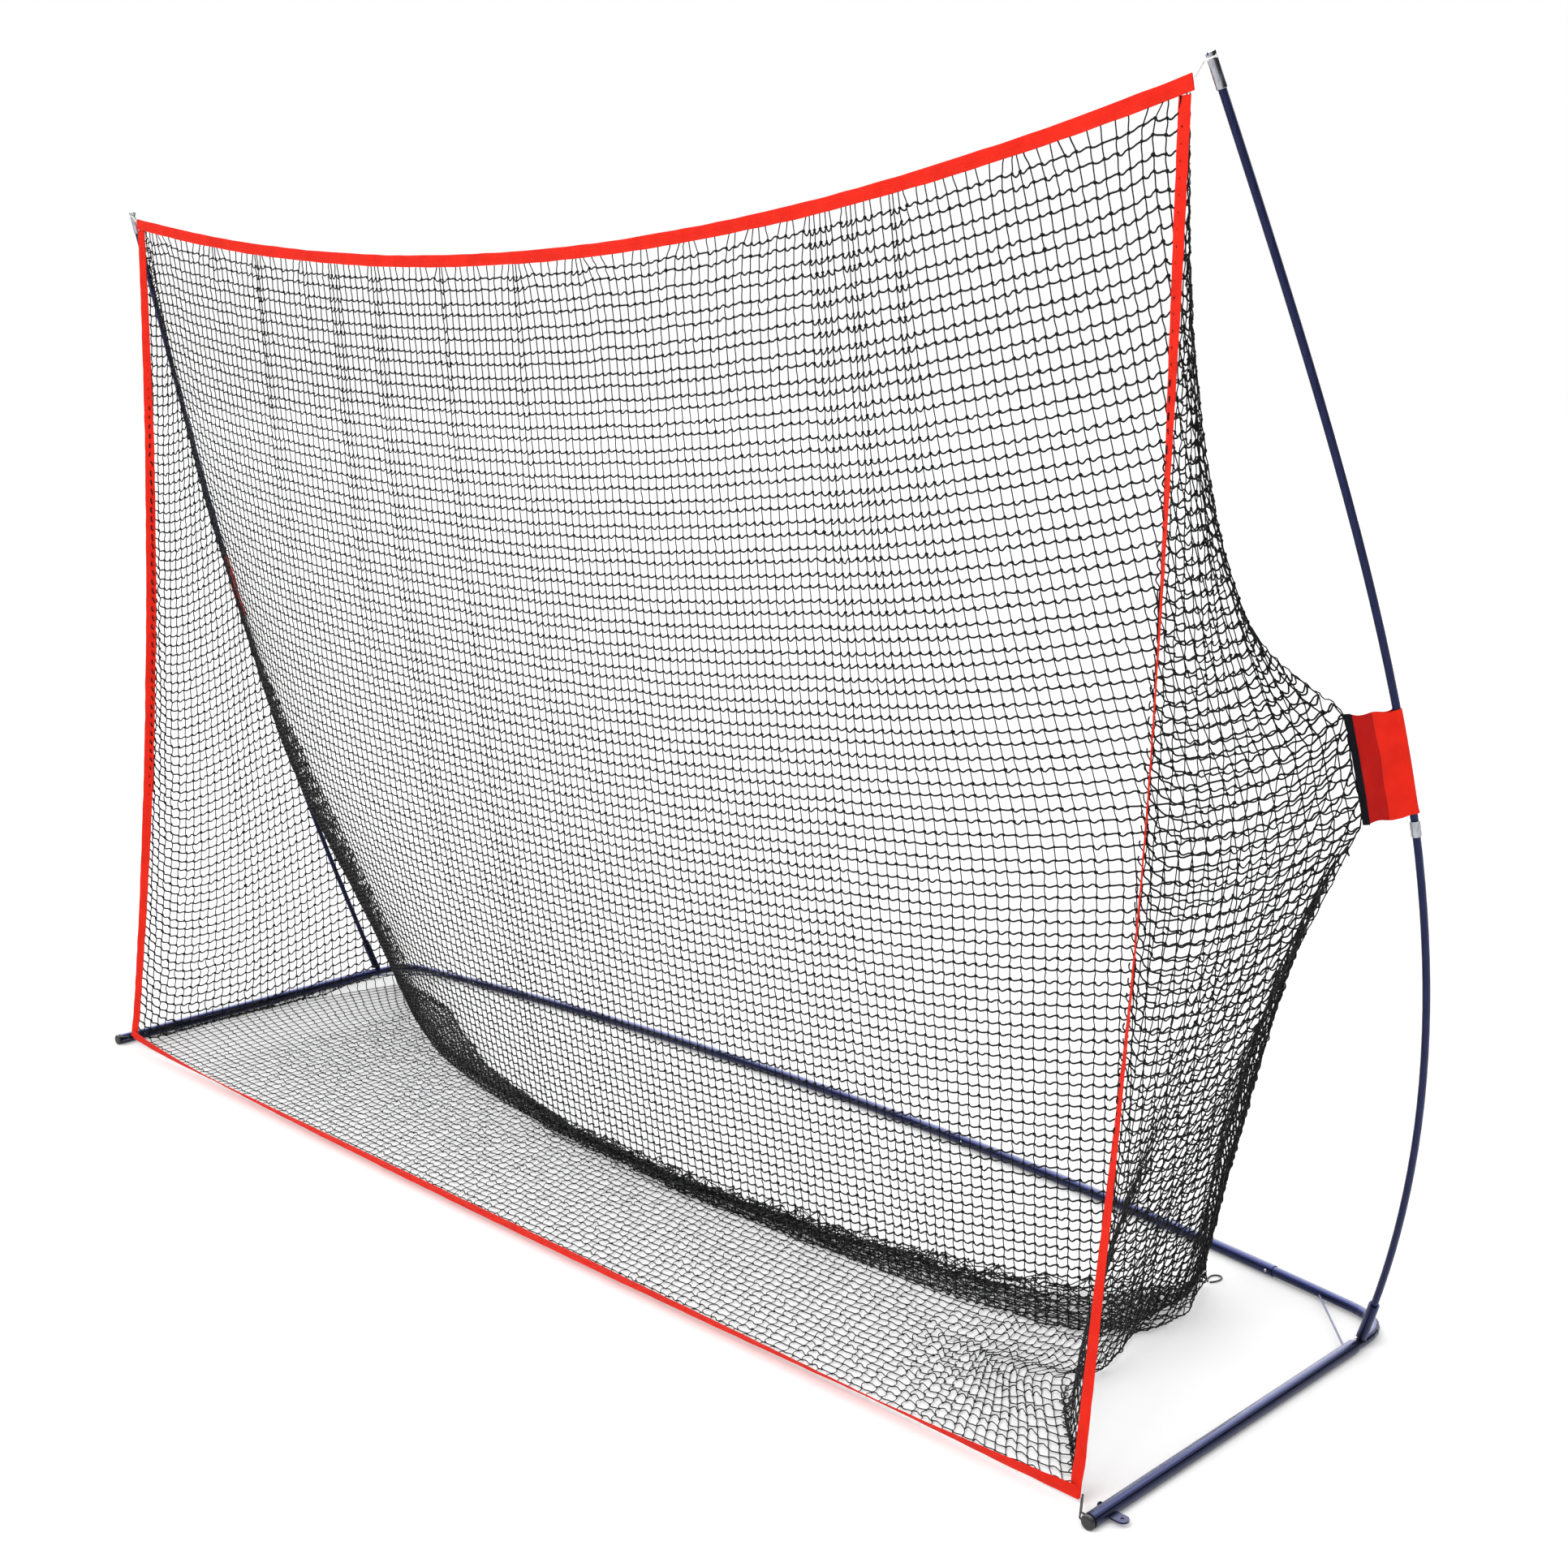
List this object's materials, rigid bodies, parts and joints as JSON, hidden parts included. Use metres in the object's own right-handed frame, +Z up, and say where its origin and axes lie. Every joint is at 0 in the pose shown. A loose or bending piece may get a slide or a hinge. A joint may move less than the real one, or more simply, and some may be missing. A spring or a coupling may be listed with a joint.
{
  "type": "pitching target net",
  "caption": "Free-standing practice net: black steel base, two bowed poles and a red-edged netting bag hung open to the front.",
  "frame": {"origin": "on the ground, under the middle of the whole net's bounding box", "axes": "+Z up, -Y towards the player, through the open mouth, +X to the right as the player sees it"},
  "size_m": [3.5293, 1.0645, 2.1567],
  "materials": {
    "base_paint": "gloss black enamel on steel tube",
    "moulding": "moulded black plastic, slightly worn sheen",
    "pole": "black pultruded fibreglass rod, semi gloss",
    "plated_metal": "bright nickel plate",
    "spring_steel": "bright spring steel",
    "red_fabric": "woven red polyester webbing and cloth",
    "black_webbing": "woven black binding tape",
    "netting": "knotted black nylon netting, square mesh",
    "white_elastic": "braided white elastic cord",
    "black_elastic": "braided black elastic cord"
  },
  "bodies": {
    "frame_and_net": {"bottom_loop_l": "black_elastic", "bottom_loop_r": "black_elastic", "button_spring_inner_l": "spring_steel", "button_spring_inner_r": "spring_steel", "button_spring_outer_l": "spring_steel", "button_spring_outer_r": "spring_steel", "corner_elbow_l": "base_paint", "corner_elbow_r": "base_paint", "corner_stay_l": "base_paint", "corner_stay_r": "base_paint", "front_end_cap_l": "moulding", "front_end_cap_r": "moulding", "hook_rivet_l": "base_paint", "hook_rivet_r": "base_paint", "net_back_panel": "netting", "net_floor_panel": "netting", "net_floor_seam": "netting", "net_side_panel_l": "netting", "net_side_panel_r": "netting", "pole_ferrule_l": "plated_metal", "pole_ferrule_r": "plated_metal", "pole_lower_l": "pole", "pole_lower_r": "pole", "pole_socket_l": "base_paint", "pole_socket_r": "base_paint", "pole_top_cap_l": "plated_metal", "pole_top_cap_r": "plated_metal", "pole_upper_l": "pole", "pole_upper_r": "pole", "rear_tie_l": "black_elastic", "rear_tie_r": "black_elastic", "rear_tube_l": "base_paint", "rear_tube_middle": "base_paint", "rear_tube_r": "base_paint", "side_tube_l": "base_paint", "side_tube_r": "base_paint", "sleeve_binding_l": "black_webbing", "sleeve_binding_r": "black_webbing", "sleeve_l": "red_fabric", "sleeve_r": "red_fabric", "stake_tab_l": "base_paint", "stake_tab_r": "base_paint", "tape_bottom": "red_fabric", "tape_side_l": "red_fabric", "tape_side_r": "red_fabric", "tape_top": "red_fabric", "top_loop_l": "white_elastic", "top_loop_r": "white_elastic"},
    "button_outer_l": {"snap_button_outer_l": "spring_steel"},
    "button_outer_r": {"snap_button_outer_r": "spring_steel"},
    "button_inner_l": {"snap_button_inner_l": "spring_steel"},
    "button_inner_r": {"snap_button_inner_r": "spring_steel"}
  },
  "joints": [
    {"name": "button_outer_l_press", "type": "slide", "parent": "frame_and_net", "child": "button_outer_l", "axis": [-0.1381, 0.9904, 0], "range_m": [0, 0.0034], "stiffness_N_per_m": 1200, "springref_m": -0.002, "deforming": ["button_spring_outer_l"]},
    {"name": "button_outer_r_press", "type": "slide", "parent": "frame_and_net", "child": "button_outer_r", "axis": [0.1391, 0.9903, 0], "range_m": [0, 0.0034], "stiffness_N_per_m": 1200, "springref_m": -0.002, "deforming": ["button_spring_outer_r"]},
    {"name": "button_inner_l_press", "type": "slide", "parent": "frame_and_net", "child": "button_inner_l", "axis": [-0.048, 0.9988, 0], "range_m": [0, 0.0034], "stiffness_N_per_m": 1200, "springref_m": -0.002, "deforming": ["button_spring_inner_l"]},
    {"name": "button_inner_r_press", "type": "slide", "parent": "frame_and_net", "child": "button_inner_r", "axis": [0.049, 0.9988, 0], "range_m": [0, 0.0034], "stiffness_N_per_m": 1200, "springref_m": -0.002, "deforming": ["button_spring_inner_r"]}
  ]
}
